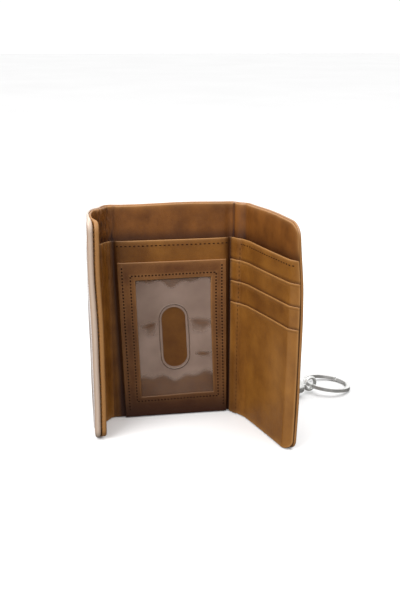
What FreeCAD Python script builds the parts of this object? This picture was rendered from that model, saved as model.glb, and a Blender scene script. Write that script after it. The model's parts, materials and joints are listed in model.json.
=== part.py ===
import FreeCAD, Part
import math
import os

# Trifold wallet standing open on its bottom edges.
# X runs to the right along the centre panel, Y points out of its back, Z is up.
# The origin is at the foot of the centre panel, midway between its fold axes.
# Depths are measured inward (-Y on the centre panel) from the shell's middle plane.

V = FreeCAD.Vector
UP = V(0, 0, 1)

# Leather body, mm and degrees
height = 132.0
centre_width = 73.7
right_fold_width = 11.0
left_fold_width = 15.5
wing_width = 59.4
flap_width = 22.3
right_turn = 37.15
left_turn = 46.0
shell_thickness = 1.4
lining_thickness = 0.6
bill_gap = 0.8
divider_thickness = 0.8
divider_step = 21.0
corner_radius = 8.0
rim = 1.0
fold_clearance = 0.05
ply_clearance = 0.1

# Stiffener boards, let into the shell under the lining
board_thickness = 0.35
board_margin = 6.0

# Identity-card frame, its film and the thumb slot
frame_width = 62.0
frame_step = 12.7
frame_foot = 0.5
frame_thickness = 1.0
window_width = 43.5
window_height = 74.0
window_left = 10.0
window_foot = 13.5
film_thickness = 0.25
film_clearance = 0.05
film_lap = 3.0
thumb_width = 14.3
thumb_height = 38.0

# Card slots on the right wing, each a step lower than the one behind it
slot_count = 3
slot_pitch = 13.0
slot_thickness = 0.6

# Key tab and D-ring
tab_side_clearance = 0.2
tab_thickness = 2.4
tab_reach = 7.5
tab_foot = 6.0
hardware_height = 6.5
wire_radius = 1.0
d_half_height = 5.0
d_arm = 7.0
d_corner = 2.0
d_turn = -18.0

# Bolt-snap clasp, along its own X from the front of the hook
clasp_turn = 23.7
hook_wire = 1.1
hook_radius = 2.6
hook_tip = 1.8
throat = 10.5
barrel_radius = 4.4
barrel_length = 23.5
bolt_radius = 1.15
bolt_travel = 4.0
bolt_length = 13.0
bolt_gap = 0.15
knob_radius = 1.1
knob_set = 2.4
knob_reach = 6.4
spring_wire = 0.25
spring_turns = 5
spring_seat = 3.2
running_clearance = 0.07
contact_clearance = 0.1
overrun = 1.0

# Swivel eye and split ring
head_radius = 2.5
head_length = 2.2
collar_length = 2.2
neck_radius = 1.15
neck_reach = 2.6
eye_radius = 4.0
eye_wire = 1.1
ring_outer = 15.65
ring_width = 2.2
turn_height = 1.05
turn_gap = 0.1
ring_notch = 1.2
notch_turns = (-25.0, 20.0)
step_half_turn = 15.0
eye_slack = 0.9

# What follows from them
shell_half = shell_thickness / 2
bead_setback = shell_half + fold_clearance
lining_depth = shell_half + lining_thickness
lining_setback = lining_depth + fold_clearance
divider_front = lining_depth + bill_gap + divider_thickness
divider_back = lining_depth + bill_gap
divider_setback = divider_front + ply_clearance
divider_height = height - divider_step
pocket_setback = divider_setback + 2 * ply_clearance
half_centre = centre_width / 2
bow_reach = d_arm + d_half_height
tab_height = 2 * (d_half_height - d_corner - tab_side_clearance)


def turned(vector, angle):
    return FreeCAD.Rotation(UP, angle).multVec(vector)


def placed(shape, origin, angle):
    """Turn a shape about the vertical through the local origin, then move it to its place."""
    result = shape.copy()
    result.rotate(V(0, 0, 0), UP, angle)
    result.translate(origin)
    return result


def mirrored(shape):
    return shape.mirror(V(0, 0, 0), V(1, 0, 0))


# Fold axes and the frames that stand on them
right_inner = V(half_centre, 0, 0)
right_outer = right_inner + turned(V(right_fold_width, 0, 0), -right_turn)
left_inner = V(-half_centre, 0, 0)
left_outer = left_inner + turned(V(-left_fold_width, 0, 0), left_turn)


def on_centre(shape):
    return shape


def on_right_fold(shape):
    return placed(shape, right_inner, -right_turn)


def on_right_wing(shape):
    return placed(shape, right_outer, -2 * right_turn)


def on_left_fold(shape):
    return placed(mirrored(shape), left_inner, left_turn)


def on_left_flap(shape):
    return placed(mirrored(shape), left_outer, 2 * left_turn)


def rounded_face(start, end, low, high, radius):
    """A rectangle in the XZ plane with both corners at its far end rounded."""
    half = radius * math.sqrt(0.5)
    top = V(end - radius, 0, high - radius)
    foot = V(end - radius, 0, low + radius)
    points = [V(start, 0, low), V(end - radius, 0, low), V(end, 0, low + radius),
              V(end, 0, high - radius), V(end - radius, 0, high), V(start, 0, high)]
    edges = [
        Part.LineSegment(points[0], points[1]),
        Part.Arc(points[1], foot + V(half, 0, -half), points[2]),
        Part.LineSegment(points[2], points[3]),
        Part.Arc(points[3], top + V(half, 0, half), points[4]),
        Part.LineSegment(points[4], points[5]),
        Part.LineSegment(points[5], points[0]),
    ]
    return Part.Face(Part.Wire([edge.toShape() for edge in edges]))


def sheet(start, end, back, front, low, high, radius=0.0):
    """A flat ply from its back depth to its front depth, with optional rounded far corners."""
    if radius > 0:
        face = rounded_face(start, end, low, high, radius)
        face.translate(V(0, -back, 0))
        return face.extrude(V(0, back - front, 0))
    size = V(end - start, front - back, high - low)
    return Part.makeBox(size.x, size.y, size.z, V(start, -front, low))


def bead(position):
    """The round leather edge on a fold axis, about which the next section turns."""
    return Part.makeCylinder(shell_half, height, V(position, 0, 0))


def board_ply(start, end, thickness):
    """A stiffener board, inset from the edges of the section that holds it."""
    left = start + board_margin
    right = end - board_margin
    return sheet(left, right, shell_half - thickness, shell_half, board_margin, height - board_margin)


def oval_bar(width, tall, centre, depth_back, depth_front):
    """An upright slot shape with round ends, as a solid that runs through the given depths."""
    radius = width / 2
    straight = tall / 2 - radius
    length = depth_front - depth_back
    top = centre + V(0, -depth_front, straight)
    foot = centre + V(0, -depth_front, -straight)
    ends = [Part.makeCylinder(radius, length, place, V(0, 1, 0)) for place in (top, foot)]
    middle = Part.makeBox(width, length, 2 * straight, foot - V(radius, 0, 0))
    return middle.multiFuse(ends).removeSplitter()


def swept_wire(curves, radius):
    """A round wire swept along a path of lines and tangent arcs."""
    path = Part.Wire([curve.toShape() for curve in curves])
    start = path.Edges[0]
    tangent = start.tangentAt(start.FirstParameter)
    section = Part.Wire(Part.makeCircle(radius, start.valueAt(start.FirstParameter), tangent))
    return path.makePipeShell([section], True, False)


def leather_sections():
    """Shell, lining and divider of the five sections, hinged on four fold axes."""
    sections = {
        "centre": (on_centre, -half_centre, half_centre, 0.0),
        "right_fold": (on_right_fold, 0.0, right_fold_width, 0.0),
        "right_wing": (on_right_wing, 0.0, wing_width, corner_radius),
        "left_fold": (on_left_fold, 0.0, left_fold_width, 0.0),
        "left_flap": (on_left_flap, 0.0, flap_width, corner_radius),
    }
    nodes = {}
    for name, (place, start, end, radius) in sections.items():
        free = radius > 0
        centre = name == "centre"
        shell_start = start if centre else start + bead_setback
        shell = sheet(shell_start, end, -shell_half, shell_half, 0, height, radius)
        beads = [bead(end)] if not free else []
        beads += [bead(start)] if centre else []
        if beads:
            shell = shell.multiFuse(beads).removeSplitter()
        if centre or free:
            shell = shell.cut(board_ply(start, end, board_thickness + fold_clearance))
            nodes["board_" + name] = place(board_ply(start, end, board_thickness))
        nodes["shell_" + name] = place(shell)
        for ply, setback, back, front, top in (
            ("lining", lining_setback, shell_half, lining_depth, height - rim),
            ("divider", divider_setback, divider_back, divider_front, divider_height),
        ):
            far = end - rim if free else end - setback
            corner = radius - rim if free else 0.0
            shape = sheet(start + setback, far, back, front, 0, top, 0.0)
            if free:
                shape = shape.common(sheet(start, far, back, front, rim, height - rim, corner))
            nodes[ply + "_" + name] = place(shape)
    return nodes


def identity_holder():
    """Leather frame sewn over a clear film with a thumb slot, in front of the centre divider."""
    back = divider_front + film_thickness + 2 * film_clearance
    front = back + frame_thickness
    right = half_centre - pocket_setback
    left = right - frame_width
    top = divider_height - frame_step
    window_start = left + window_left
    window = sheet(window_start, window_start + window_width, back, front,
                   window_foot, window_foot + window_height)
    frame = sheet(left, right, back, front, frame_foot, top).cut(window)
    film_back = divider_front + film_clearance
    film = sheet(window_start - film_lap, window_start + window_width + film_lap,
                 film_back, film_back + film_thickness,
                 window_foot - film_lap, window_foot + window_height + film_lap)
    centre = V(window_start + window_width / 2, 0, window_foot + window_height / 2)
    thumb = oval_bar(thumb_width, thumb_height, centre, film_back, film_back + film_thickness)
    return {"id_frame": frame, "id_window": film.cut(thumb)}


def card_slots():
    """Overlapping card-slot plies on the right wing, the lowest one outermost."""
    nodes = {}
    for index in range(slot_count):
        back = divider_front + index * slot_thickness
        top = divider_height - (index + 1) * slot_pitch
        reach = wing_width - 2 * rim - index * slot_thickness
        low_corner = sheet(0, reach, back, back + slot_thickness, rim, height, corner_radius - 2 * rim)
        ply = sheet(pocket_setback, reach, back, back + slot_thickness, rim, top)
        nodes["card_slot_" + str(index + 1)] = on_right_wing(ply.common(low_corner))
    return nodes


# Key hardware behind the right fold
bar_place = right_inner + turned(V(right_fold_width / 2, shell_half + tab_reach, 0), -right_turn)
bow_place = bar_place + turned(V(bow_reach, 0, 0), d_turn)
bow_in_hook = hook_wire + contact_clearance + wire_radius
clasp_origin = bow_place - turned(V(bow_in_hook, 0, 0), clasp_turn)
barrel_end = throat + barrel_length
bolt_tip = hook_radius + hook_tip + bolt_gap
bolt_tail = bolt_tip + bolt_length
knob_place = throat + knob_set
head_start = barrel_end - collar_length - head_length
eye_place = barrel_end + neck_reach + eye_radius + eye_wire
ring_height = 2 * turn_height + turn_gap
ring_centre_radius = ring_outer - ring_width / 2
ring_rise = hardware_height - eye_slack - ring_height / 2
ring_tilt = math.degrees(math.asin(ring_rise / (2 * ring_centre_radius + ring_width / 2)))


def at_hardware(shape, origin, angle):
    return placed(shape, origin + V(0, 0, hardware_height), angle)


def key_tab():
    """A folded leather loop that stands out of the right fold and holds the D-ring's bar."""
    eye = tab_thickness / 2 + wire_radius
    low = hardware_height - tab_height / 2
    middle = right_fold_width / 2
    outer = shell_half + tab_reach
    foot = Part.makeBox(tab_foot, tab_thickness / 2, tab_height, V(middle - tab_foot / 2, shell_half, low))
    web = Part.makeBox(tab_thickness, tab_reach, tab_height, V(middle - tab_thickness / 2, shell_half, low))
    loop = Part.makeCylinder(eye, tab_height, V(middle, outer, low))
    hole = Part.makeCylinder(wire_radius + running_clearance, tab_height, V(middle, outer, low))
    return on_right_fold(foot.multiFuse([web, loop]).cut(hole).removeSplitter())


def d_ring():
    """A wire ring: an upright bar with round corners, two arms and a half-circle bow."""
    half = d_half_height
    bow = V(d_arm, 0, 0)
    inset = d_corner * (1 - math.sqrt(0.5))
    path = [
        Part.LineSegment(V(0, 0, half - d_corner), V(0, 0, d_corner - half)),
        Part.Arc(V(0, 0, d_corner - half), V(inset, 0, inset - half), V(d_corner, 0, -half)),
        Part.LineSegment(V(d_corner, 0, -half), V(d_arm, 0, -half)),
        Part.Arc(V(d_arm, 0, -half), bow + V(half, 0, 0), V(d_arm, 0, half)),
        Part.LineSegment(V(d_arm, 0, half), V(d_corner, 0, half)),
        Part.Arc(V(d_corner, 0, half), V(inset, 0, half - inset), V(0, 0, half - d_corner)),
    ]
    wire = swept_wire(path, wire_radius)
    return at_hardware(wire, bar_place, d_turn)


def along_clasp(radius, start, end, offset):
    return Part.makeCylinder(radius, end - start, V(start, offset, 0), V(1, 0, 0))


def clasp_body():
    """Hook and barrel in one casting, bored for the bolt and for the swivel's head."""
    root = V(throat + hook_radius, -hook_radius, 0)
    bend_start = V(hook_radius, -hook_radius, 0)
    bend_end = V(hook_radius, hook_radius, 0)
    path = [
        Part.LineSegment(root, bend_start),
        Part.Arc(bend_start, V(0, 0, 0), bend_end),
        Part.LineSegment(bend_end, bend_end + V(hook_tip, 0, 0)),
    ]
    hook = swept_wire(path, hook_wire)
    barrel = along_clasp(barrel_radius, throat, barrel_end, 0)
    barrel = barrel.makeChamfer(hook_wire / 2, [edge for edge in barrel.Edges if edge.isClosed()])
    bore_end = bolt_tail + bolt_travel + spring_seat
    bore = along_clasp(bolt_radius + running_clearance, throat - overrun, bore_end, hook_radius)
    slot_half = knob_radius + running_clearance
    slot_start = knob_place - slot_half - contact_clearance
    slot_end = knob_place + bolt_travel + slot_half + contact_clearance
    slot_corner = V(slot_start, hook_radius, -slot_half)
    slot = Part.makeBox(slot_end - slot_start, barrel_radius, 2 * slot_half, slot_corner)
    cavity = along_clasp(head_radius + running_clearance, head_start - contact_clearance,
                         head_start + head_length + contact_clearance, 0)
    neck = along_clasp(neck_radius + running_clearance, head_start, barrel_end + overrun, 0)
    solid = barrel.fuse(hook)
    return at_hardware(solid.cut(bore).cut(slot).cut(cavity).cut(neck), clasp_origin, clasp_turn)


def clasp_bolt():
    rod = along_clasp(bolt_radius, bolt_tip, bolt_tail, hook_radius)
    knob = Part.makeCylinder(knob_radius, knob_reach - hook_radius, V(knob_place, hook_radius, 0), V(0, 1, 0))
    return at_hardware(rod.fuse(knob).removeSplitter(), clasp_origin, clasp_turn)


def clasp_spring():
    """A coil behind the bolt, from its tail to the end of the bore."""
    length = bolt_travel + spring_seat - 2 * spring_wire - 2 * contact_clearance
    radius = bolt_radius - spring_wire - contact_clearance
    helix = Part.makeHelix(length / spring_turns, length, radius)
    section = Part.Wire(Part.makeCircle(spring_wire, V(radius, 0, 0), V(0, 1, 0)))
    coil = Part.Wire(helix.Edges).makePipeShell([section], True, True)
    coil.rotate(V(0, 0, 0), V(0, 1, 0), 90)
    coil.translate(V(bolt_tail + contact_clearance + spring_wire, hook_radius, 0))
    return at_hardware(coil, clasp_origin, clasp_turn)


def swivel_eye():
    """A headed stem that turns in the barrel, with an upright eye on its end."""
    head = along_clasp(head_radius, head_start, head_start + head_length, 0)
    stem = along_clasp(neck_radius, head_start, eye_place - eye_radius, 0)
    eye = Part.makeTorus(eye_radius, eye_wire, V(eye_place, 0, 0), V(0, 1, 0))
    return at_hardware(head.multiFuse([stem, eye]).removeSplitter(), clasp_origin, clasp_turn)


def annulus(low, thickness):
    outer = Part.makeCylinder(ring_outer, thickness, V(0, 0, low))
    return outer.cut(Part.makeCylinder(ring_outer - ring_width, thickness, V(0, 0, low)))


def split_ring():
    """Two flat turns of one wire, joined by a step between their cut ends."""
    lower = annulus(0, turn_height)
    upper = annulus(turn_height + turn_gap, turn_height)
    step = annulus(turn_height / 2, turn_height + turn_gap)
    sector = Part.makeBox(ring_outer, ring_outer, ring_outer, V(0, 0, -turn_height))
    sector.rotate(V(0, 0, 0), UP, -step_half_turn)
    wedge = Part.makeBox(ring_outer, ring_outer, ring_outer, V(0, -ring_outer, -turn_height))
    wedge.rotate(V(0, 0, 0), UP, step_half_turn)
    step = step.common(sector).common(wedge)
    notch_start = ring_outer - ring_width - overrun
    lower_notch = Part.makeBox(ring_width + 2 * overrun, ring_notch, turn_height, V(notch_start, 0, 0))
    upper_notch = lower_notch.copy()
    upper_notch.translate(V(0, 0, turn_height + turn_gap))
    lower_notch.rotate(V(0, 0, 0), UP, notch_turns[0])
    upper_notch.rotate(V(0, 0, 0), UP, notch_turns[1])
    ring = lower.cut(lower_notch).multiFuse([upper.cut(upper_notch), step]).removeSplitter()
    ring.translate(V(ring_centre_radius, 0, -ring_height / 2))
    ring.rotate(V(0, 0, 0), V(0, 1, 0), ring_tilt)
    ring.translate(V(eye_place, 0, -eye_slack))
    return at_hardware(ring, clasp_origin, clasp_turn)


def key_hardware():
    return {
        "key_tab": key_tab(),
        "d_ring": d_ring(),
        "clasp_body": clasp_body(),
        "clasp_bolt": clasp_bolt(),
        "clasp_spring": clasp_spring(),
        "swivel_eye": swivel_eye(),
        "split_ring": split_ring(),
    }


os.makedirs("parts", exist_ok=True)
for group in (leather_sections(), identity_holder(), card_slots(), key_hardware()):
    for node, solid in group.items():
        solid.exportStep("parts/" + node + ".step")
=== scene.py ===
import json
import math

import bmesh
import bpy
import numpy as np
from mathutils import Matrix, Vector


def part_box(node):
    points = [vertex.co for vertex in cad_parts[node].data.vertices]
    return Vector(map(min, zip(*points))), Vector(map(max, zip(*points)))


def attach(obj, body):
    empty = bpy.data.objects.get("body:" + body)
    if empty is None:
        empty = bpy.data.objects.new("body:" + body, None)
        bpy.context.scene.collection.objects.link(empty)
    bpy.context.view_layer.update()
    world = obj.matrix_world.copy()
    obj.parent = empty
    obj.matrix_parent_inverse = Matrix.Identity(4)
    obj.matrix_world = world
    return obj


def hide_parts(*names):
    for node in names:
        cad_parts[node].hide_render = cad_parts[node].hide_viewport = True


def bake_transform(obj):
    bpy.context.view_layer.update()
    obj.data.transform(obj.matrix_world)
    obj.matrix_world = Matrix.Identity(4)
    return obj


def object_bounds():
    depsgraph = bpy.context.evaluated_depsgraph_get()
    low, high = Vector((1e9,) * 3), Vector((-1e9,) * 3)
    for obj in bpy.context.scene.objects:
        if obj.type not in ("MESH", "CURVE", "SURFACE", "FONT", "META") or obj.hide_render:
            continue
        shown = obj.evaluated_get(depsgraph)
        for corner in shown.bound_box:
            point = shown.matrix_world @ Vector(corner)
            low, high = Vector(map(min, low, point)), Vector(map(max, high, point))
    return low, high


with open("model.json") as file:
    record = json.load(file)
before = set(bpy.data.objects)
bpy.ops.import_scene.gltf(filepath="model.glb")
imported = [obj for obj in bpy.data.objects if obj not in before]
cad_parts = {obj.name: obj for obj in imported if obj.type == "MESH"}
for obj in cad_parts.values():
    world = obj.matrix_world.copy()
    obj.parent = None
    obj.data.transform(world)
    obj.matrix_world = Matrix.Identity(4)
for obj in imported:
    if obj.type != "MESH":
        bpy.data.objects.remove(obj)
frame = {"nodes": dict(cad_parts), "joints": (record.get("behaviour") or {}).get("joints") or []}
cad_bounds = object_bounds()

MM = 0.001

# ---------------------------------------------------------------- sizes from the frame, mm


def node_box(node):
    """Low and high corners of a CAD node, mm."""
    low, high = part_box(node)
    return np.array(low) / MM, np.array(high) / MM


joints = {joint["name"]: joint for joint in frame["joints"]}


def hinge_place(name):
    """Where a joint's axis stands, mm."""
    return np.array(joints[name]["pos_m"]) / MM


def hinge_gap(side):
    """Width of a fold: the distance between its two axes."""
    inner = hinge_place(side + "_fold_inner")
    outer = hinge_place(side + "_fold_outer")
    return float(np.linalg.norm(outer - inner))


def rest_turn(side):
    """How far each axis of a fold is turned in, from lying flat to the photographed pose."""
    return math.radians(-joints[side + "_fold_inner"]["range_deg"][0])


def section_reach(node, side):
    """Length of a free section, from its fold axis to its free edge."""
    end = node_box(node)[0][1]
    turn = 2 * rest_turn(side)
    start = hinge_place(side + "_fold_outer")[1]
    return (start - end - SHELL_HALF * abs(math.cos(turn))) / math.sin(turn)


HEIGHT = node_box("shell_centre")[1][2]
SHELL_HALF = node_box("shell_centre")[1][1]
LINING_FRONT = -node_box("lining_centre")[0][1]
DIVIDER_BACK = -node_box("divider_centre")[1][1]
DIVIDER_FRONT = -node_box("divider_centre")[0][1]
DIVIDER_TOP = node_box("divider_centre")[1][2]
SLOT_TOPS = [node_box("card_slot_" + str(index))[1][2] for index in (1, 2, 3)]
SLOT_PLY = 0.6
RIGHT_INNER = hinge_place("right_fold_inner")[0]
RIGHT_OUTER = RIGHT_INNER + hinge_gap("right")
LEFT_INNER = -hinge_place("left_fold_inner")[0]
LEFT_OUTER = LEFT_INNER + hinge_gap("left")
RIGHT_TURN = rest_turn("right")
LEFT_TURN = rest_turn("left")
WING_END = RIGHT_OUTER + section_reach("shell_right_wing", "right")
FLAP_END = LEFT_OUTER + section_reach("shell_left_flap", "left")
RIGHT_MIDDLE = (RIGHT_INNER + RIGHT_OUTER) / 2
LEFT_MIDDLE = (LEFT_INNER + LEFT_OUTER) / 2
CORNER = 8.0
FOOT_CORNER = 6.0
RIGHT_SOFT = hinge_gap("right") / 2
LEFT_SOFT = hinge_gap("left") / 2
ROLL = 7.0
SEAM_REACH = 5.0
RIGHT_CREASE = RIGHT_INNER - 0.8
WING_GAPE = 1.7
CENTRE_GAPE = 1.2
FOLD_BULGE = 1.8
LIP_BACK = 0.9
LIP_SHELL = 1.4
LIP_SEAM = 2.5
LIP_FRONT = 5.2
WEAR_AND_SHEEN_STRENGTH = 0.75

# ---------------------------------------------------------------- the folded leather surface


def smooth(value):
    value = np.clip(value, 0.0, 1.0)
    return value * value * (3 - 2 * value)


def turned_about(x, y, centre, angle):
    """Turn points in plan about (centre, 0) by an angle for each point."""
    cos, sin = np.cos(angle), np.sin(angle)
    dx = x - centre
    return centre + cos * dx - sin * y, sin * dx + cos * y


def folded(s, depth, z):
    """Flat leather coordinates, mm, to the standing wallet, metres."""
    x, y = s.copy(), -depth
    for axis, turn in ((RIGHT_OUTER, RIGHT_TURN), (RIGHT_INNER, RIGHT_TURN)):
        weight = smooth((s - axis + RIGHT_SOFT) / (2 * RIGHT_SOFT))
        x, y = turned_about(x, y, axis, -turn * weight)
    for axis, turn in ((LEFT_OUTER, LEFT_TURN), (LEFT_INNER, LEFT_TURN)):
        weight = smooth((-s - axis + LEFT_SOFT) / (2 * LEFT_SOFT))
        x, y = turned_about(x, y, -axis, turn * weight)
    return np.stack([x, y, z], axis=-1) * MM


def wing_share(s):
    """From 0 at the right fold's outer axis to 1 at the wing's free edge."""
    return np.clip((s - RIGHT_OUTER) / (WING_END - RIGHT_OUTER), 0.0, 1.0)


def edge_share(s):
    """From 0 where the wing's padded edge begins to 1 at the free edge."""
    return np.clip((s - (WING_END - ROLL)) / ROLL, 0, 1)


def sway(s, z):
    """The soft bow of all the leather, mm inward, the same for every ply."""
    share = wing_share(s)
    wing = -1.1 * np.sin(math.pi * share) * (0.35 + 0.65 * np.sin(math.pi * z / HEIGHT))
    centre = np.clip(1 - (s / LEFT_INNER) ** 2, 0, 1)
    middle = 0.35 * centre * np.sin(math.pi * z / HEIGHT + 0.4)
    spine = np.exp(-((s + LEFT_OUTER - 1) / 8.5) ** 2)
    left = spine * (2.2 * smooth((z - 106) / 26) - 0.9 * np.sin(math.pi * z / HEIGHT))
    flap = -(0.3 + 1.3 * smooth((z - 50) / 60)) * smooth((-s - LEFT_OUTER + 2) / 12)
    tip = share ** 2 * (2.3 * smooth((z - 92) / 36) - 1.2 * np.sin(math.pi * z / HEIGHT))
    return wing - middle + left + flap + tip - 0.5 * edge_share(s) ** 1.3


def settle(depth, s):
    """Bring an inner ply down to the shell at the wing's slanted free edge."""
    base = SHELL_HALF + 0.04
    return base + (depth - base) * (1 - 0.93 * edge_share(s) ** 1.4)


def gape(s, z):
    """How far the bill compartment's inner wall stands away at its mouth, mm inward."""
    rise = smooth((z - 56) / (DIVIDER_TOP - 56))
    share = wing_share(s)
    wing = WING_GAPE * np.sin(math.pi * np.clip(share * 1.04, 0, 1)) ** 0.8
    centre = CENTRE_GAPE * np.clip(1 - (s / LEFT_INNER) ** 4, 0, 1)
    return rise * (wing + centre)


def bulge(s):
    """The pocket wall cuts the corner of the right fold, mm inward."""
    before = smooth((s - RIGHT_CREASE) / (RIGHT_OUTER - RIGHT_CREASE))
    after = 1 - smooth((s - RIGHT_OUTER) / 9)
    return FOLD_BULGE * np.where(s < RIGHT_OUTER, before, after)


def valley(s, place, width):
    """A narrow line along the leather, 1 at its place."""
    return np.exp(-((s - place) / width) ** 2)


def left_crease(z):
    """Where the divider leaves the centre panel for the left fold, a line that leans outward."""
    return -(29.6 + 5.0 * z / DIVIDER_TOP)


def edge_pad(s):
    """Share of the turned, padded edge along the left flap's free end."""
    return smooth((-s - (FLAP_END - SEAM_REACH)) / 3.0)


def wrinkles(s, z):
    """Creases of the lining and divider in the left fold, mm inward."""
    near = np.exp(-((-s - LEFT_MIDDLE) / 8.5) ** 2) * (1 - edge_pad(s))
    high = 0.35 + 0.65 * smooth((z - 70) / 50)
    drift = 1.6 * np.sin(z * 0.11 + 0.6) + 0.8 * np.sin(z * 0.31 + 2.0)
    fine = np.sin((s + drift) * 1.9) + 0.7 * np.sin((s - 0.6 * drift) * 3.3 + z * 0.23)
    cross = 0.4 * np.sin(z * 0.62 + s * 0.35 + 1.3)
    return 0.24 * near * high * (fine + cross)


def creases(s, z):
    """Light unevenness all over, mm."""
    return (0.10 * np.sin(s * 0.19 + z * 0.05) * np.sin(z * 0.083 + 1.0)
            + 0.05 * np.sin(s * 0.47 - z * 0.13 + 2.0))


# ---------------------------------------------------------------- slabs of leather


def lines(start, end, step, free_start=False, free_end=False, extra=()):
    """Grid lines, closer together beside a free edge so that it can be round."""
    count = max(2, int(round((end - start) / step)))
    values = list(np.linspace(start, end, count + 1)) + list(extra)
    near = (0.06, 0.2, 0.45, 0.8)
    if free_start:
        values += [start + gap for gap in near]
    if free_end:
        values += [end - gap for gap in near]
    values = sorted(values)
    kept = [values[0]]
    for value in values[1:]:
        if value - kept[-1] > 0.03:
            kept.append(value)
    kept[-1] = end
    return np.array(kept)


def round_corners(s, z, bounds, corners):
    """Move the grid's corner squares onto quarter discs; a corner is (side, up, radius)."""
    left, right, low, high = bounds
    for side, up, radius in corners:
        cx = right - radius if side > 0 else left + radius
        cz = high - radius if up > 0 else low + radius
        a = (s - cx) / radius * side
        b = (z - cz) / radius * up
        inside = (a > 0) & (b > 0)
        a1, b1 = np.clip(a, 0, 1), np.clip(b, 0, 1)
        s, z = (np.where(inside, cx + side * radius * a1 * np.sqrt(1 - b1 ** 2 / 2), s),
                np.where(inside, cz + up * radius * b1 * np.sqrt(1 - a1 ** 2 / 2), z))
    return s, z


def edge_distance(s, z, bounds, free, corners):
    """Distance to the nearest free edge; free is (left, right, low, high)."""
    left, right, low, high = bounds
    far = np.full(s.shape, 1e3)
    gaps = [s - left, right - s, z - low, high - z]
    for gap, is_free in zip(gaps, free):
        if is_free:
            far = np.minimum(far, gap)
    for side, up, radius in corners:
        cx = right - radius if side > 0 else left + radius
        cz = high - radius if up > 0 else low + radius
        a = (s - cx) * side
        b = (z - cz) * up
        inside = (a > 0) & (b > 0)
        far = np.where(inside, radius - np.hypot(a, b), far)
    return np.clip(far, 0, None)


def grid_mesh(name, points_front, points_back, mask, flat_front, flat_back, wear_and_sheen, shade):
    """A closed mesh from a front grid and a back grid, with walls round every masked edge."""
    rows, columns = mask.shape
    used = np.zeros((rows + 1, columns + 1), bool)
    for di in (0, 1):
        for dj in (0, 1):
            used[di:di + rows, dj:dj + columns] |= mask
    index = -np.ones(used.shape, int)
    index[used] = np.arange(used.sum())
    count = int(used.sum())
    vertices = np.concatenate([points_front[used], points_back[used]])
    flats = np.concatenate([flat_front[used], flat_back[used]])
    wear_and_sheen_values = np.concatenate([wear_and_sheen[used], wear_and_sheen[used]])
    shades = np.concatenate([shade[used], shade[used]])
    faces = []
    for i in range(rows):
        for j in range(columns):
            if not mask[i, j]:
                continue
            a, b = index[i, j], index[i + 1, j]
            c, d = index[i + 1, j + 1], index[i, j + 1]
            faces.append((a, b, c, d))
            faces.append((a + count, d + count, c + count, b + count))
            for (p, q), (ni, nj) in (((a, b), (i, j - 1)), ((b, c), (i + 1, j)),
                                     ((c, d), (i, j + 1)), ((d, a), (i - 1, j))):
                outside = ni < 0 or nj < 0 or ni >= rows or nj >= columns or not mask[ni, nj]
                if outside:
                    faces.append((q, p, p + count, q + count))
    return build_mesh(name, vertices, faces, flats, wear_and_sheen_values, shades)


def build_mesh(name, vertices, faces, flats, wear_and_sheen_values, shades=None, sharp=50):
    mesh = bpy.data.meshes.new(name)
    mesh.from_pydata([tuple(v) for v in vertices], [], faces)
    mesh.update()
    attribute = mesh.attributes.new("flat", "FLOAT_VECTOR", "POINT")
    attribute.data.foreach_set("vector", np.asarray(flats, np.float32).ravel())
    attribute = mesh.attributes.new("wear_and_sheen", "FLOAT", "POINT")
    attribute.data.foreach_set("value", np.asarray(wear_and_sheen_values, np.float32).ravel())
    attribute = mesh.attributes.new("shade", "FLOAT", "POINT")
    shades = np.zeros(len(vertices)) if shades is None else shades
    attribute.data.foreach_set("value", np.asarray(shades, np.float32).ravel())
    work = bmesh.new()
    work.from_mesh(mesh)
    bmesh.ops.recalc_face_normals(work, faces=work.faces)
    work.to_mesh(mesh)
    work.free()
    for polygon in mesh.polygons:
        polygon.use_smooth = True
    mesh.set_sharp_from_angle(angle=math.radians(sharp))
    piece = bpy.data.objects.new(name, mesh)
    bpy.context.scene.collection.objects.link(piece)
    return piece


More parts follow.
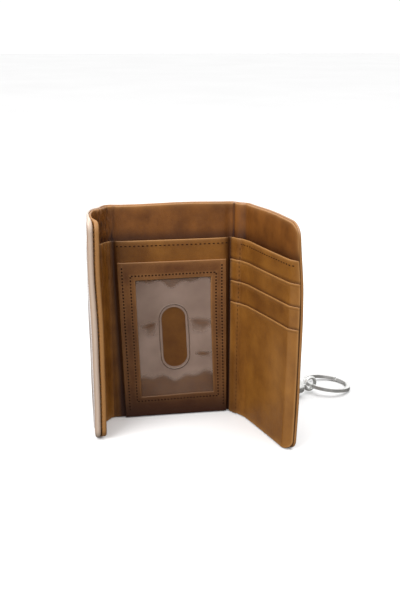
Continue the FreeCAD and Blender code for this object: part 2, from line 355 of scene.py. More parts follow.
def slab(name, s_range, z_range, back, front, free, corners=(), hole=None, step=(1.2, 1.8),
         extra_s=(), extra_z=(), wobble=0.0, rounding=None, dark=None, pale=None, warp=None):
    """A ply of leather: back and front are depth functions, free says which edges are round."""
    bounds = (s_range[0], s_range[1], z_range[0], z_range[1])
    extra_s = [value for value in extra_s if bounds[0] < value < bounds[1]]
    extra_z = [value for value in extra_z if bounds[2] < value < bounds[3]]
    if hole:
        for gap in (0.0, 0.06, 0.2, 0.45, 0.8):
            extra_s += [hole[0] - gap, hole[1] + gap]
            extra_z += [hole[2] - gap, hole[3] + gap]
    s_lines = lines(bounds[0], bounds[1], step[0], free[0], free[1], extra_s)
    z_lines = lines(bounds[2], bounds[3], step[1], free[2], free[3], extra_z)
    s, z = np.meshgrid(s_lines, z_lines, indexing="ij")
    mask = np.ones((len(s_lines) - 1, len(z_lines) - 1), bool)
    if hole:
        mid_s = (s_lines[1:] + s_lines[:-1]) / 2
        mid_z = (z_lines[1:] + z_lines[:-1]) / 2
        inside_s = (mid_s > hole[0]) & (mid_s < hole[1])
        inside_z = (mid_z > hole[2]) & (mid_z < hole[3])
        mask &= ~(inside_s[:, None] & inside_z[None, :])
    s, z = round_corners(s, z, bounds, corners)
    gap = edge_distance(s, z, bounds, free, corners)
    if hole:
        outside = np.maximum(np.maximum(hole[0] - s, s - hole[1]), np.maximum(hole[2] - z, z - hole[3]))
        gap = np.minimum(gap, np.clip(outside, 0, None))
    wear_and_sheen = np.exp(-gap / 0.9)
    # Pale marks merged in here add painted highlights and painted sheen to the real edge wear.
    if pale:
        wear_and_sheen = np.maximum(wear_and_sheen, pale(s, z))
    if warp:
        s, z = warp(s, z)
    depth_back, depth_front = back(s, z), front(s, z)
    half = (depth_front - depth_back) / 2
    middle = (depth_front + depth_back) / 2
    bevel = half if rounding is None else np.minimum(half, rounding)
    inset = np.clip(1 - gap / np.maximum(bevel, 0.05), 0, 1)
    shrink = bevel * (1 - np.sqrt(np.clip(1 - inset ** 2, 0, 1)))
    keep = half - shrink * 0.92
    lift = z + wobble * np.sin(s * 0.09 + 0.7) * smooth((z - bounds[3] + 12) / 12)
    front_points = folded(s, middle + keep, lift)
    back_points = folded(s, middle - keep, lift)
    flat_front = np.stack([s, middle + keep, z], axis=-1)
    flat_back = np.stack([s, middle - keep, z], axis=-1)
    # The shade attribute holds painted shade worked out by the dark function.
    shade = np.clip(dark(s, z), 0, 1) if dark else np.zeros(s.shape)
    return grid_mesh(name, front_points, back_points, mask, flat_front, flat_back, wear_and_sheen, shade)


# ---------------------------------------------------------------- the four stretches between seams

STRETCHES = {
    "flap": (-FLAP_END, -LEFT_MIDDLE),
    "left": (-LEFT_MIDDLE, 0.0),
    "right": (0.0, RIGHT_MIDDLE),
    "wing": (RIGHT_MIDDLE, WING_END),
}
BLENDS = {
    "flap": ("left_fold", "left_flap", -LEFT_OUTER),
    "left": ("centre_panel", "left_fold", -LEFT_INNER),
    "right": ("centre_panel", "right_fold", RIGHT_INNER),
    "wing": ("right_fold", "right_wing", RIGHT_OUTER),
}


def bend_with(piece, stretch):
    """Bake a piece's transform into its mesh; the fold axis of its stretch is worked out but the piece is
    not made to turn with it.
    """
    body_a, body_b, axis = BLENDS[stretch]
    reach = RIGHT_SOFT if axis > 0 else -LEFT_SOFT
    ends = [folded(np.array([axis + side * reach]), np.zeros(1), np.zeros(1))[0] for side in (-1, 1)]
    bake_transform(piece)


def dress(piece, material, nodes=()):
    piece.data.materials.append(material)
    if nodes:
        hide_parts(*nodes)
    return piece


def stretch_slab(kind, stretch, z_range, back, front, material, slot, nodes, inset=0.0, square_top=False,
                 **options):
    start, end = STRETCHES[stretch]
    free_start, free_end = stretch == "flap", stretch == "wing"
    start += inset if free_start else 0.0
    end -= inset if free_end else 0.0
    corners = []
    if free_start or free_end:
        side = 1 if free_end else -1
        corners = [(side, -1, FOOT_CORNER - inset)]
        corners += [] if square_top else [(side, 1, CORNER - inset)]
    piece = slab(kind + "_" + stretch, (start, end), z_range, back, front,
                 (free_start, free_end, True, True), corners, **options)
    bend_with(piece, stretch)
    return dress(piece, material, nodes)


# ---------------------------------------------------------------- materials


def srgb(red, green, blue):
    def linear(value):
        value /= 255
        return value / 12.92 if value <= 0.04045 else ((value + 0.055) / 1.055) ** 2.4
    return (linear(red), linear(green), linear(blue), 1.0)


def new_material(name):
    material = bpy.data.materials.new(name)
    material.use_nodes = True
    tree = material.node_tree
    return material, tree.nodes, tree.links, tree.nodes["Principled BSDF"]


def ramp(nodes, links, source, stops):
    node = nodes.new("ShaderNodeValToRGB")
    elements = node.color_ramp.elements
    while len(elements) < len(stops):
        elements.new(0.5)
    for element, (position, colour) in zip(elements, stops):
        element.position = position
        element.color = colour
    links.new(source, node.inputs["Fac"])
    return node.outputs["Color"]


def mix_colour(nodes, links, factor, first, second, mode="MIX"):
    node = nodes.new("ShaderNodeMix")
    node.data_type = "RGBA"
    node.blend_type = mode
    for socket, value in (("Factor", factor), ("A", first), ("B", second)):
        target = [item for item in node.inputs if item.name == socket and item.enabled][0]
        if hasattr(value, "is_output"):
            links.new(value, target)
        else:
            target.default_value = value
    return [item for item in node.outputs if item.enabled][0]


def maths(nodes, links, operation, first, second=0.0):
    node = nodes.new("ShaderNodeMath")
    node.operation = operation
    for index, value in enumerate((first, second)):
        if hasattr(value, "is_output"):
            links.new(value, node.inputs[index])
        else:
            node.inputs[index].default_value = value
    return node.outputs[0]


def flat_coordinates(nodes, links, scale=(1, 1, 1)):
    """Where a point lies on the uncut leather, in mm."""
    source = nodes.new("ShaderNodeAttribute")
    source.attribute_name = "flat"
    mapping = nodes.new("ShaderNodeMapping")
    mapping.inputs["Scale"].default_value = scale
    links.new(source.outputs["Vector"], mapping.inputs["Vector"])
    return mapping.outputs["Vector"]


def noise(nodes, links, vector, scale, detail=4.0, roughness=0.55):
    node = nodes.new("ShaderNodeTexNoise")
    node.inputs["Scale"].default_value = scale
    node.inputs["Detail"].default_value = detail
    node.inputs["Roughness"].default_value = roughness
    links.new(vector, node.inputs["Vector"])
    return node.outputs["Fac"]


EDGE_TAN = srgb(178, 130, 78)
# Colour of painted shade, mixed in by the shade attribute in folds, creases, pocket mouths and low down.
PAINTED_SHADE_BROWN = srgb(52, 24, 10)


def leather(name, light, dark, edge, gloss=0.42, coat=0.0):
    """Waxed tan hide: cloudy dye, fine grain with pores, rubbed edges whose pale colour also carries
    painted highlights, and painted shade from the shade attribute.
    """
    material, nodes, links, shader = new_material(name)
    vector = flat_coordinates(nodes, links)
    clouds = noise(nodes, links, vector, 0.055, 5.0, 0.6)
    streaks = noise(nodes, links, flat_coordinates(nodes, links, (0.11, 0.11, 0.05)), 1.0, 4.0)
    fine = noise(nodes, links, vector, 3.4, 3.0, 0.6)
    cells = nodes.new("ShaderNodeTexVoronoi")
    cells.feature = "DISTANCE_TO_EDGE"
    cells.inputs["Scale"].default_value = 1.25
    links.new(vector, cells.inputs["Vector"])
    tone = maths(nodes, links, "ADD", maths(nodes, links, "MULTIPLY", clouds, 0.8),
                 maths(nodes, links, "MULTIPLY", streaks, 0.2))
    colour = ramp(nodes, links, tone, [(0.36, dark), (0.62, light)])
    pores = ramp(nodes, links, fine, [(0.30, (0.80, 0.76, 0.72, 1)), (0.52, (1, 1, 1, 1))])
    colour = mix_colour(nodes, links, 0.8, colour, pores, "MULTIPLY")
    gaps = cells.outputs["Distance"]
    seams = ramp(nodes, links, gaps, [(0.0, (0.86, 0.84, 0.82, 1)), (0.10, (1, 1, 1, 1))])
    colour = mix_colour(nodes, links, 0.6, colour, seams, "MULTIPLY")
    # Real edge wear and painted highlights both reach the colour through this attribute.
    wear_and_sheen_source = nodes.new("ShaderNodeAttribute")
    wear_and_sheen_source.attribute_name = "wear_and_sheen"
    wear_and_sheen_mix = maths(nodes, links, "MULTIPLY", wear_and_sheen_source.outputs["Fac"], WEAR_AND_SHEEN_STRENGTH)
    colour = mix_colour(nodes, links, wear_and_sheen_mix, colour, edge)
    # Painted shade: the shade attribute pulls the colour towards the painted shade brown.
    deep = nodes.new("ShaderNodeAttribute")
    deep.attribute_name = "shade"
    colour = mix_colour(nodes, links, deep.outputs["Fac"], colour, PAINTED_SHADE_BROWN)
    links.new(colour, shader.inputs["Base Color"])
    rough = maths(nodes, links, "MULTIPLY_ADD", clouds, 0.16)
    rough.node.inputs[2].default_value = gloss - 0.08
    links.new(rough, shader.inputs["Roughness"])
    domes = maths(nodes, links, "MINIMUM", maths(nodes, links, "MULTIPLY", gaps, 2.5), 0.45)
    height = maths(nodes, links, "ADD", maths(nodes, links, "MULTIPLY", fine, 0.55), domes)
    bump = nodes.new("ShaderNodeBump")
    bump.inputs["Strength"].default_value = 0.55
    bump.inputs["Distance"].default_value = 0.00011
    links.new(height, bump.inputs["Height"])
    links.new(bump.outputs["Normal"], shader.inputs["Normal"])
    shader.inputs["Specular IOR Level"].default_value = 0.4
    shader.inputs["Coat Weight"].default_value = coat
    shader.inputs["Coat Roughness"].default_value = 0.16
    return material


OUTER = leather("outer_leather", srgb(140, 88, 42), srgb(106, 62, 27), EDGE_TAN, 0.30, coat=0.7)
# A paler, glossier copy of the outer leather for the flap; its pinkish-white edge colour is a painted sheen
# on the flap's outer face.
SHEENED_OUTER = leather("outer_leather_painted_sheen", srgb(146, 100, 62), srgb(112, 70, 36), srgb(226, 206, 188), 0.24,
                 coat=0.9)
LINING = leather("lining_leather", srgb(134, 82, 32), srgb(100, 58, 21), EDGE_TAN, 0.36)
POCKET = leather("pocket_leather", srgb(142, 92, 34), srgb(110, 66, 22), EDGE_TAN, 0.34)
HOLDER = leather("frame_leather", srgb(136, 90, 48), srgb(100, 60, 30), srgb(168, 120, 72), 0.34)


def thread_material(name, dark, light):
    """Waxed twisted thread."""
    material, nodes, links, shader = new_material(name)
    twist = nodes.new("ShaderNodeTexWave")
    twist.inputs["Scale"].default_value = 1.4
    twist.inputs["Distortion"].default_value = 0.6
    links.new(flat_coordinates(nodes, links), twist.inputs["Vector"])
    colour = ramp(nodes, links, twist.outputs["Fac"], [(0.1, dark), (0.9, light)])
    links.new(colour, shader.inputs["Base Color"])
    bump = nodes.new("ShaderNodeBump")
    bump.inputs["Strength"].default_value = 0.4
    bump.inputs["Distance"].default_value = 0.0001
    links.new(twist.outputs["Fac"], bump.inputs["Height"])
    links.new(bump.outputs["Normal"], shader.inputs["Normal"])
    shader.inputs["Roughness"].default_value = 0.7
    shader.inputs["Specular IOR Level"].default_value = 0.12
    return material


def film_material():
    """Clear vinyl under a pale veil, a painted reflection of the bright floor, which thins out in patches.
    """
    material, nodes, links, shader = new_material("clear_film")
    vector = flat_coordinates(nodes, links)
    veil = noise(nodes, links, vector, 0.045, 3.0, 0.5)
    veil_gap = nodes.new("ShaderNodeAttribute")
    veil_gap.attribute_name = "wear_and_sheen"
    veil_strength = maths(nodes, links, "MULTIPLY_ADD", veil, 0.20)
    veil_strength.node.inputs[2].default_value = 0.52
    clear = maths(nodes, links, "MULTIPLY", veil_gap.outputs["Fac"], 0.5)
    alpha = maths(nodes, links, "SUBTRACT", veil_strength, clear)
    line = nodes.new("ShaderNodeAttribute")
    line.attribute_name = "shade"
    pressed = maths(nodes, links, "MULTIPLY", line.outputs["Fac"], 0.75)
    alpha = maths(nodes, links, "MAXIMUM", alpha, pressed)
    alpha = maths(nodes, links, "MAXIMUM", alpha, 0.08)
    links.new(alpha, shader.inputs["Alpha"])
    # The veil's colour is that of the painted reflection.
    tint = ramp(nodes, links, veil, [(0.3, srgb(160, 136, 122)), (0.7, srgb(182, 158, 144))])
    tint = mix_colour(nodes, links, line.outputs["Fac"], tint, srgb(84, 62, 48))
    links.new(tint, shader.inputs["Base Color"])
    waves = noise(nodes, links, vector, 0.09, 1.0, 0.4)
    bump = nodes.new("ShaderNodeBump")
    bump.inputs["Strength"].default_value = 0.35
    bump.inputs["Distance"].default_value = 0.0006
    links.new(waves, bump.inputs["Height"])
    links.new(bump.outputs["Normal"], shader.inputs["Normal"])
    shader.inputs["Roughness"].default_value = 0.14
    shader.inputs["IOR"].default_value = 1.5
    return material


def metal_material(name, colour, roughness, metallic):
    """Plated metal with fine polishing marks and a few dull spots."""
    material, nodes, links, shader = new_material(name)
    source = nodes.new("ShaderNodeTexCoord")
    spots = noise(nodes, links, source.outputs["Object"], 260.0, 3.0)
    marks = noise(nodes, links, source.outputs["Object"], 2600.0, 2.0)
    tone = ramp(nodes, links, spots, [(0.35, tuple(0.78 * c for c in colour[:3]) + (1,)), (0.65, colour)])
    links.new(tone, shader.inputs["Base Color"])
    rough = maths(nodes, links, "MULTIPLY_ADD", spots, 0.16)
    rough.node.inputs[2].default_value = roughness
    links.new(rough, shader.inputs["Roughness"])
    bump = nodes.new("ShaderNodeBump")
    bump.inputs["Strength"].default_value = 0.12
    bump.inputs["Distance"].default_value = 0.00005
    links.new(marks, bump.inputs["Height"])
    links.new(bump.outputs["Normal"], shader.inputs["Normal"])
    shader.inputs["Metallic"].default_value = metallic
    return material


def board_material():
    """Grey-brown fibre board."""
    material, nodes, links, shader = new_material("fibre_board")
    source = nodes.new("ShaderNodeTexCoord")
    fibres = noise(nodes, links, source.outputs["Object"], 900.0, 4.0)
    colour = ramp(nodes, links, fibres, [(0.3, srgb(140, 128, 108)), (0.7, srgb(178, 168, 148))])
    links.new(colour, shader.inputs["Base Color"])
    shader.inputs["Roughness"].default_value = 0.9
    return material


THREAD = thread_material("stitch_thread", srgb(30, 13, 4), srgb(58, 28, 11))
SEAM_THREAD = thread_material("seam_thread", srgb(96, 62, 30), srgb(132, 92, 50))
FILM = film_material()
# Metallic below 1 leaves a diffuse white share on the nickel: a painted sheen that brightens the plate.
NICKEL = metal_material("nickel_plate", (0.93, 0.93, 0.91, 1), 0.16, 0.72)
STEEL = metal_material("spring_steel", (0.62, 0.62, 0.63, 1), 0.24, 1.0)
BOARD = board_material()

# ---------------------------------------------------------------- depths of the plies, mm


def shell_back(s, z):
    return sway(s, z) + creases(s, z) - SHELL_HALF - LIP_BACK * edge_pad(s)


def shell_front(s, z):
    return sway(s, z) + creases(s, z) + SHELL_HALF + LIP_SHELL * edge_pad(s)


def lining_back(s, z):
    pad = edge_pad(s)
    return sway(s, z) + creases(s, z) + settle(SHELL_HALF, s) * (1 - pad) + LIP_SEAM * pad


def lining_front(s, z):
    base = SHELL_HALF + (LINING_FRONT - SHELL_HALF) * 1.6 + 0.25
    fold = 0.5 * valley(s, RIGHT_INNER + 1.6, 0.9) + 0.3 * valley(s, RIGHT_OUTER - 1.5, 1.2)
    pad = edge_pad(s)
    depth = settle(base, s) * (1 - pad) + LIP_FRONT * pad
    deep = 1.2 + 1.8 * smooth((z - DIVIDER_TOP) / 6)
    return sway(s, z) + creases(s, z) + depth + np.abs(wrinkles(s, z)) * deep - fold


def divider_dip(s, z):
    """The divider's creases beside the centre panel, mm outward."""
    return (0.7 * valley(s, RIGHT_CREASE, 1.1) + 0.45 * valley(s, left_crease(z), 1.3)
            - 0.35 * valley(s, left_crease(z) - 3.4, 1.8))


def divider_back(s, z):
    open_depth = DIVIDER_BACK + gape(s, z) + bulge(s) + 0.05 - divider_dip(s, z)
    return sway(s, z) + settle(open_depth, s) + 0.8 * wrinkles(s, z)


def divider_front(s, z):
    open_depth = DIVIDER_FRONT + gape(s, z) + bulge(s) + 0.25 - divider_dip(s, z)
    return sway(s, z) + settle(open_depth, s) + wrinkles(s, z) + 0.1 * edge_share(s)


def slot_depth(level):
    """Depth of the surface between slot plies; level 0 lies on the divider."""
    def depth(s, z):
        outward = DIVIDER_FRONT + 0.27 + level * SLOT_PLY + gape(s, z) + bulge(s)
        lean = 0.0
        if level > 0:
            top = SLOT_TOPS[level - 1]
            lean = 0.25 * smooth((z - top + 6) / 6) - 0.10 * np.exp(-((z - top + 1.5) / 0.35) ** 2)
        return sway(s, z) + settle(outward + lean, s) + 0.1 * (level + 1) * edge_share(s)
    return depth


def pocket_surface(s, z):
    """The outermost surface of the wing's pockets at each height."""
    depth = divider_front(s, z)
    for level, top in enumerate(SLOT_TOPS, 1):
        depth = np.where(z < top, slot_depth(level)(s, z), depth)
    return depth


def lining_dark(s, z):
    """Painted shade in the folds, in the left fold's wrinkles and inside the bill compartment's mouth."""
    below = smooth((DIVIDER_TOP + 9 - z) / 9)
    waver = 0.35 * np.sin(z * 0.21) + 0.2 * np.sin(z * 0.53 + 1)
    folds = 0.7 * valley(s, RIGHT_INNER + 1.6, 0.7) + 0.3 * valley(s, RIGHT_OUTER - 1.5, 1.0)
    left = 0.4 * valley(s, -(LEFT_INNER - 3.0) + 2 * waver, 1.0) + 2.0 * np.clip(-wrinkles(s, z), 0, 1)
    return (0.75 * below ** 1.6 + folds + left) * (1 - 0.9 * edge_pad(s))


def mouth(z, top):
    """Shade of a ply behind the slot in front of it, fading out just above that slot's edge."""
    return 0.72 * smooth((top + 2.0 - z) / 2.0)


def divider_dark(s, z):
    """Painted shade in the divider's creases and wrinkles, towards its foot, round the ID frame, behind its
    window and inside the first slot's mouth.
    """
    right = 0.62 * valley(s, RIGHT_CREASE - 0.6, 2.6)
    left = 0.66 * valley(s, left_crease(z) + 0.3, 2.2)
    foot = 0.35 * smooth((30 - z) / 30) * (s > -LEFT_INNER) * (s < RIGHT_INNER)
    beside = 0.25 * smooth((np.abs(s - 3) - 24) / 8) * (s < RIGHT_INNER) * (s > -LEFT_INNER)
    slot = mouth(z, SLOT_TOPS[0]) * (s > RIGHT_CREASE)
    behind = 0.38 * (np.abs(s - 2) < 27) * smooth((94 - z) / 4)
    return right + left + foot + beside + behind + slot + 1.2 * np.clip(-wrinkles(s, z), 0, 1)


def rubbed_patch(s, z):
    """Painted highlight: a paler patch low on the wing and a paler band along its padded edge."""
    patch = 0.36 * np.exp(-((s - WING_END + 15) / 11) ** 2 - ((z - 42) / 24) ** 2)
    return patch + 0.25 * smooth(edge_share(s) * 4)


def rubbed_lip(s, z):
    """Painted sheen: the flap's padded edge made pale, less so towards the top."""
    return 0.6 * edge_pad(s) * (1 - 0.6 * smooth((z - 108) / 16))


def slot_dark(level):
    """Painted shade along a slot's pressed line, low in the fold, in the crease and behind the slot in
    front.
    """
    top = SLOT_TOPS[level - 1]

    def dark(s, z):
        line = 0.22 * np.exp(-((z - top + 1.5) / 0.35) ** 2)
        fold = 0.45 * smooth((RIGHT_OUTER + 6 - s) / 12) * smooth((60 - z) / 50)
        below = mouth(z, SLOT_TOPS[level]) if level < len(SLOT_TOPS) else 0.0
        return line + fold + below + 0.5 * valley(s, RIGHT_CREASE + 1.0, 1.2)
    return dark


# ---------------------------------------------------------------- stitches


def capsule(start, end, width, thickness):
    """Points and faces of one stitch along the flat leather from start to end (s, z)."""
    direction = np.array(end) - np.array(start)
    length = np.linalg.norm(direction)
    along = direction / length
    across = np.array([-along[1], along[0]])
    rings = ((0.0, 0.35, -0.5), (0.18, 0.9, 0.1), (0.5, 1.0, 0.42), (0.82, 0.9, 0.1), (1.0, 0.35, -0.5))
    sides = 8
    points = []
    for share, size, rise in rings:
        centre = np.array(start) + direction * share
        for turn in range(sides):
            angle = 2 * math.pi * turn / sides
            place = centre + across * math.cos(angle) * width / 2 * size
            points.append((place[0], place[1], (math.sin(angle) * 0.5 * size + rise) * thickness))
    faces = []
    for ring in range(len(rings) - 1):
        for turn in range(sides):
            after = (turn + 1) % sides
            faces.append((ring * sides + turn, ring * sides + after,
                          (ring + 1) * sides + after, (ring + 1) * sides + turn))
    faces.append(tuple(range(sides))[::-1])
    faces.append(tuple(range((len(rings) - 1) * sides, len(rings) * sides)))
    return points, faces


def stitch_rows(name, rows, surface, pitch=3.0, length=2.1, width=0.55, thickness=0.45, warp=None):
    """Rows of stitches on a leather surface; each row is a list of (s, z) corners."""
    points, faces = [], []
    for row in rows:
        for start, end in zip(row[:-1], row[1:]):
            start, end = np.array(start, float), np.array(end, float)
            span = np.linalg.norm(end - start)
            count = max(1, int(span // pitch))
            direction = (end - start) / span
            step = span / count
            for index in range(count):
                middle = start + direction * step * (index + 0.5)
                more, more_faces = capsule(middle - direction * length / 2, middle + direction * length / 2,
                                           width, thickness)
                base = len(points)
                points += more
                faces += [tuple(base + item for item in face) for face in more_faces]
    points = np.array(points)
    s, z, rise = points[:, 0], points[:, 1], points[:, 2]
    if warp:
        s, z = warp(s, z)
    depth = surface(s, z) + rise
    flats = np.stack([s, depth, z], axis=-1)
    return build_mesh(name, folded(s, depth, z), faces, flats, np.zeros(len(points)), sharp=80)


# ---------------------------------------------------------------- building the leather body

SECTIONS = {
    "flap": ["left_flap"],
    "left": ["left_fold"],
    "right": ["centre", "right_fold"],
    "wing": ["right_wing"],
}


def build_leather():
    fold_lines = list(np.arange(RIGHT_INNER - 5, RIGHT_INNER + 6, 0.35))
    fold_lines += list(np.arange(-LEFT_INNER - 2, -LEFT_INNER + 10, 0.5))
    for stretch, sections in SECTIONS.items():
        step = (0.6, 1.6) if stretch in ("flap", "left") else (1.2, 1.8)
        # The flap's shell takes the paler copy of the outer leather, with its padded edge painted pale as a
        # sheen.
        hide, painted_sheen = (SHEENED_OUTER, rubbed_lip) if stretch == "flap" else (OUTER, None)
        stretch_slab("shell", stretch, (0.0, HEIGHT), shell_back, shell_front, hide, "outer_leather",
                     ["shell_" + section for section in sections], wobble=0.3, extra_s=fold_lines, pale=painted_sheen)
        lining_inset = 0.15 if stretch == "flap" else 0.6
        stretch_slab("lining", stretch, (0.4, HEIGHT - 0.6), lining_back, lining_front, LINING,
                     "lining_leather", ["lining_" + section for section in sections], inset=lining_inset,
                     step=step, wobble=0.3, extra_s=fold_lines, dark=lining_dark,
                     rounding=1.0 if stretch == "flap" else None)
        stretch_slab("divider", stretch, (0.3, DIVIDER_TOP), divider_back, divider_front, POCKET,
                     "pocket_leather", ["divider_" + section for section in sections],
                     inset=SEAM_REACH - 1.0 if stretch == "flap" else 0.7, square_top=True, step=step,
                     rounding=0.45, extra_s=fold_lines, dark=divider_dark)


def build_boards():
    """Thin stiffeners inside the shell, one in each stiff section."""
    sections = {
        "centre": ("centre_panel", -LEFT_INNER + 9, RIGHT_INNER - 9),
        "right_wing": ("right_wing", RIGHT_OUTER + 9, WING_END - 10),
        "left_flap": ("left_flap", -FLAP_END + 7, -LEFT_OUTER - 9),
    }
    for section, (body, start, end) in sections.items():
        board = slab("board_" + section, (start, end), (8.0, HEIGHT - 12.0),
                     lambda s, z: sway(s, z) + creases(s, z) + 0.2,
                     lambda s, z: sway(s, z) + creases(s, z) + 0.5,
                     (True, True, True, True), step=(2.0, 3.0))
        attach(board, body)
        dress(board, BOARD, ["board_" + section])


def build_seams():
    height = DIVIDER_TOP - 3.2
    ends = {"left": (left_crease(height) + 1.5, 0.0), "right": (0.0, RIGHT_CREASE - 1.5),
            "wing": (RIGHT_OUTER - 3, WING_END - 3)}
    for stretch, (left, right) in ends.items():
        row = stitch_rows("divider_stitches_" + stretch, [[(left, height), (right, height)]],
                          divider_front, width=0.62, thickness=0.4, pitch=2.5, length=1.6)
        bend_with(row, stretch)
        dress(row, THREAD)
    seam = stitch_rows("flap_seam", [[(-(FLAP_END - 0.7), 6.0), (-(FLAP_END - 0.7), HEIGHT - 6)]],
                       lambda s, z: sway(s, z) + 2.3, width=0.6, thickness=0.5, pitch=2.6, length=1.8)
    bend_with(seam, "flap")
    dress(seam, SEAM_THREAD)
    line = RIGHT_OUTER - 3.0
    side = stitch_rows("wing_side_stitches", [[(line, 3.0), (line, DIVIDER_TOP - 5)]],
                       pocket_surface, width=0.5, thickness=0.25, pitch=2.6, length=1.6)
    bend_with(side, "wing")
    dress(side, THREAD)


def build_slots():
    end = WING_END - 0.5
    fold_lines = list(np.arange(RIGHT_CREASE, RIGHT_OUTER + 8, 0.6)) + list(np.arange(end - 8, end, 0.5))
    for level, top in enumerate(SLOT_TOPS, 1):
        edge_lines = list(np.arange(top - 3.0, top - 0.6, 0.2))
        start = RIGHT_CREASE + 0.5 * level
        for stretch, left, right in (("right", start, RIGHT_MIDDLE), ("wing", RIGHT_MIDDLE, end)):
            is_end = stretch == "wing"
            piece = slab("slot_%d_%s" % (level, stretch), (left, right), (0.4, top),
                         slot_depth(level - 1), slot_depth(level), (not is_end, is_end, True, True),
                         [(1, -1, FOOT_CORNER - 0.5)] if is_end else [], step=(1.1, 1.6), rounding=0.3,
                         extra_s=fold_lines, extra_z=edge_lines, dark=slot_dark(level), pale=rubbed_patch)
            bend_with(piece, stretch)
            dress(piece, POCKET, ["card_slot_%d" % level])


def frame_depth(back):
    """Depth function of the ID frame's back or front."""
    low, high = node_box("id_frame")
    base = -high[1] if back else -low[1]

    def depth(s, z):
        return sway(s, z) + base + gape(s, z) + 0.3
    return depth


def frame_lean(s, z):
    """The sewn frame stands a little crooked: it leans to the left towards its top."""
    low, high = node_box("id_frame")
    across = (s - low[0]) / (high[0] - low[0])
    up = (z - low[2]) / (high[2] - low[2])
    inner = np.clip(4 * across * (1 - across), 0, 1) * np.clip(4.5 * up * (1 - up), 0, 1)
    tilt = (across - 0.5) * 3.4 * inner
    lean = (3.8 - 1.7 * across + 3.6 * inner * across) * up ** 1.1
    return s - lean + 1.3 * across, z + tilt


def build_id_holder():
    low, high = node_box("id_frame")
    film_low, film_high = node_box("id_window")
    lap = 3.0
    window = (film_low[0] + lap, film_high[0] - lap, film_low[2] + lap, film_high[2] - lap)
    edge_gap, foot_gap, ring_gap = 2.6, 4.0, 2.8
    left, right = low[0] + edge_gap, high[0] - edge_gap
    foot, top = low[2] + foot_gap, high[2] - edge_gap
    ring = (window[0] - ring_gap, window[1] + ring_gap, window[2] - ring_gap, window[3] + ring_gap)

    def near_stitches(s, z):
        side = np.minimum(np.abs(s - left), np.abs(s - right))
        box_s = np.maximum(ring[0] - s, s - ring[1])
        box_z = np.maximum(ring[2] - z, z - ring[3])
        edge = np.abs(np.maximum(box_s, box_z))
        return 0.5 * np.exp(-(np.minimum(side, edge) / 0.8) ** 2)

    holder = slab("id_frame_leather", (low[0], high[0]), (low[2], high[2]), frame_depth(True),
                  frame_depth(False), (True, True, True, True), hole=window, step=(1.2, 1.6), rounding=0.45,
                  warp=frame_lean, pale=near_stitches,
                  # Painted shade: the frame is darker towards its bottom.
                  dark=lambda s, z: 0.72 * smooth((24 - z) / 26) + 0.30 * smooth((88 - z) / 40),
                  extra_s=[place + gap for place in (left, right, *ring[:2]) for gap in (-0.5, 0, 0.5)],
                  extra_z=[place + gap for place in ring[2:] for gap in (-0.5, 0, 0.5)])
    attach(holder, "centre_panel")
    dress(holder, HOLDER, ["id_frame"])
    rows = [
        [(left, foot), (left, top)],
        [(right, foot), (right, top)],
        [(ring[0], ring[2]), (ring[1], ring[2]), (ring[1], ring[3]), (ring[0], ring[3]),
         (ring[0], ring[2])],
    ]
    stitches = stitch_rows("id_frame_stitches", rows, frame_depth(False), pitch=1.95, length=1.35,
                           width=0.85, thickness=0.3, warp=frame_lean)
    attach(stitches, "centre_panel")
    dress(stitches, THREAD)
    build_film(window, lap)


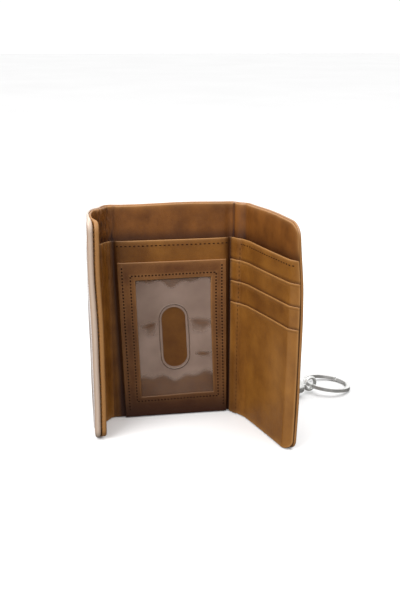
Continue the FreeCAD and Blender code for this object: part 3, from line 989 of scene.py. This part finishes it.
def build_film(window, lap):
    """Clear film with a round-ended thumb slot and a pressed line round it."""
    slot_width, slot_height, line_gap = 14.3, 38.0, 1.7
    centre_s, centre_z = (window[0] + window[1]) / 2, (window[2] + window[3]) / 2
    around = 144
    shares = np.concatenate([np.linspace(0, 0.22, 26), np.linspace(0.25, 1, 24)])
    turns = np.linspace(0, 2 * math.pi, around, endpoint=False)
    cos, sin = np.cos(turns), np.sin(turns)
    radius = slot_width / 2
    straight = slot_height / 2 - radius
    oval_s = centre_s + radius * cos
    oval_z = centre_z + radius * sin + straight * np.sign(np.round(sin, 9))
    half_s = (window[1] - window[0]) / 2 + lap * 0.9
    half_z = (window[3] - window[2]) / 2 + lap * 0.9
    scale = 1 / np.maximum(np.abs(cos) / half_s, np.abs(sin) / half_z)
    box_s, box_z = centre_s + cos * scale, centre_z + sin * scale
    s = oval_s[None, :] + (box_s - oval_s)[None, :] * shares[:, None]
    z = oval_z[None, :] + (box_z - oval_z)[None, :] * shares[:, None]
    away = np.hypot(s - oval_s[None, :], z - oval_z[None, :])
    pressed = 0.30 * np.exp(-((away - line_gap) / 0.28) ** 2)
    flat_s, flat_z = s, z
    s, z = frame_lean(s, z)
    waves = 0.16 * np.sin(z * 0.16 + 0.5) * np.sin(s * 0.13 + 1.1)
    base = DIVIDER_FRONT + 0.42
    depth = sway(s, z) + gape(s, z) + base + 0.25 * (1 + waves) + pressed
    thickness = 0.18
    count = s.size
    flats = np.concatenate([np.stack([s, depth, z], -1).reshape(-1, 3),
                            np.stack([s, depth - thickness, z], -1).reshape(-1, 3)])
    points = folded(flats[:, 0], flats[:, 1], flats[:, 2])
    faces = []
    for i in range(len(shares) - 1):
        for j in range(around):
            k = (j + 1) % around
            a, b, c, d = i * around + j, i * around + k, (i + 1) * around + k, (i + 1) * around + j
            faces.append((a, b, c, d))
            faces.append((a + count, d + count, c + count, b + count))
    last = (len(shares) - 1) * around
    for j in range(around):
        k = (j + 1) % around
        faces.append((j, j + count, k + count, k))
        faces.append((last + j, last + k, last + k + count, last + j + count))
    # Patches where the painted reflection on the film thins: along its foot, along its top edge and in
    # three lobes.
    share_z = (np.tile(flat_z.ravel(), 2) - window[2]) / (window[3] - window[2])
    share_s = (np.tile(flat_s.ravel(), 2) - window[0]) / (window[1] - window[0])
    wavy = 0.02 * np.sin(share_s * 9) + 0.015 * np.sin(share_s * 21 + 1)
    foot = 1 - smooth((share_z - 0.13 - wavy) / 0.05)
    head = smooth((share_z - 0.955 - 1.3 * wavy) / 0.02) * 0.8
    spots = 0.0
    for place_s, place_z, wide, tall in ((0.20, 0.61, 0.13, 0.030), (0.86, 0.605, 0.19, 0.046),
                                         (0.88, 0.34, 0.10, 0.020)):
        away_z = share_z - place_z + 0.25 * wavy
        spots = spots + np.exp(-(((share_s - place_s) / wide) ** 2 + (away_z / tall) ** 2) ** 2)
    veil_gap = np.clip(foot + head + spots, 0, 1)
    outline = 0.9 * np.exp(-((np.tile(away.ravel(), 2) - line_gap) / 0.26) ** 2)
    film = build_mesh("id_film", points, faces, flats, veil_gap, outline, sharp=60)
    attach(film, "centre_panel")
    dress(film, FILM, ["id_window"])


def build_spring():
    """The clasp's spring, a steel copy of the CAD coil; the real spring shortens as the bolt slides back,
    and this copy keeps its length.
    """
    coil = bpy.data.objects.new("spring_coil", frame["nodes"]["clasp_spring"].data.copy())
    bpy.context.scene.collection.objects.link(coil)
    coil.data.materials.clear()
    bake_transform(coil)
    dress(coil, STEEL, ["clasp_spring"])


def finish_hardware():
    materials = {
        "key_tab": OUTER, "d_ring": NICKEL, "clasp_body": NICKEL, "clasp_bolt": NICKEL,
        "swivel_eye": NICKEL, "split_ring": NICKEL,
    }
    for node, material in materials.items():
        mesh = frame["nodes"][node].data
        mesh.materials.clear()
        mesh.materials.append(material)


# ---------------------------------------------------------------- stage, light and camera


def build_stage():
    material, nodes, links, shader = new_material("pale_floor")
    source = nodes.new("ShaderNodeTexCoord")
    tone = ramp(nodes, links, noise(nodes, links, source.outputs["Object"], 3.0),
                [(0.3, (0.90, 0.90, 0.90, 1)), (0.7, (0.93, 0.93, 0.93, 1))])
    links.new(tone, shader.inputs["Base Color"])
    shader.inputs["Roughness"].default_value = 0.9
    size = 6.0
    mesh = bpy.data.meshes.new("floor")
    corners = [(-size, -size, 0), (size, -size, 0), (size, size, 0), (-size, size, 0)]
    mesh.from_pydata(corners, [], [(0, 1, 2, 3)])
    floor = bpy.data.objects.new("floor", mesh)
    floor.location.z = -0.0002
    bpy.context.scene.collection.objects.link(floor)
    mesh.materials.append(material)
    floor.visible_diffuse = False
    floor.visible_glossy = False


def build_world():
    """White all round above, and below only at the back; little light comes from the front below."""
    world = bpy.data.worlds.new("studio")
    world.use_nodes = True
    nodes, links = world.node_tree.nodes, world.node_tree.links
    background = nodes["Background"]
    source = nodes.new("ShaderNodeTexCoord")
    split = nodes.new("ShaderNodeSeparateXYZ")
    links.new(source.outputs["Generated"], split.inputs["Vector"])
    above = ramp(nodes, links, maths(nodes, links, "ADD", split.outputs["Z"], 0.5),
                 [(0.32, (0, 0, 0, 1)), (0.46, (1, 1, 1, 1))])
    behind = ramp(nodes, links, split.outputs["Y"], [(0.74, (0, 0, 0, 1)), (0.9, (1, 1, 1, 1))])
    either = mix_colour(nodes, links, 1.0, above, behind, "LIGHTEN")
    colour = mix_colour(nodes, links, either, (0.10, 0.093, 0.085, 1), (1, 1, 1, 1))
    links.new(colour, background.inputs["Color"])
    background.inputs["Strength"].default_value = 1.05
    bpy.context.scene.world = world
    bpy.context.scene.view_settings.view_transform = "Standard"


def add_light(name, place, target, size, power):
    light = bpy.data.lights.new(name, "AREA")
    light.shape = "RECTANGLE"
    light.size, light.size_y = size
    light.energy = power
    lamp = bpy.data.objects.new(name, light)
    lamp.location = place
    lamp.rotation_euler = (Vector(target) - Vector(place)).to_track_quat("-Z", "Y").to_euler()
    bpy.context.scene.collection.objects.link(lamp)


def build_camera():
    """The photographer's view: slightly above, from the front left."""
    target = Vector((17.2, -4.3, 73.4)) * MM
    distance = 536.7 * MM
    elevation, yaw, roll_angle = math.radians(17.37), math.radians(-9.81), math.radians(0.26)
    level = math.cos(elevation)
    back = Vector((math.sin(yaw) * level, -math.cos(yaw) * level, math.sin(elevation)))
    right = Vector((0, 0, 1)).cross(back).normalized()
    up = back.cross(right)
    turned_right = right * math.cos(roll_angle) + up * math.sin(roll_angle)
    turned_up = up * math.cos(roll_angle) - right * math.sin(roll_angle)
    camera = bpy.data.cameras.new("camera")
    camera.lens = 53.95
    camera.sensor_width = 36
    camera.clip_start = 0.01
    holder = bpy.data.objects.new("camera", camera)
    axes = Matrix((turned_right, turned_up, back)).transposed().to_4x4()
    axes.translation = target + back * distance
    holder.matrix_world = axes
    bpy.context.scene.collection.objects.link(holder)
    bpy.context.scene.camera = holder


build_leather()
build_boards()
build_seams()
build_slots()
build_id_holder()
build_spring()
finish_hardware()
build_stage()
build_world()
centre = tuple((cad_bounds[0][axis] + cad_bounds[1][axis]) / 2 for axis in range(3))
add_light("key", (-0.75, -0.55, 0.75), centre, (0.7, 0.7), 9)
add_light("top", (0.1, -0.1, 1.1), centre, (0.8, 0.8), 5)
build_camera()
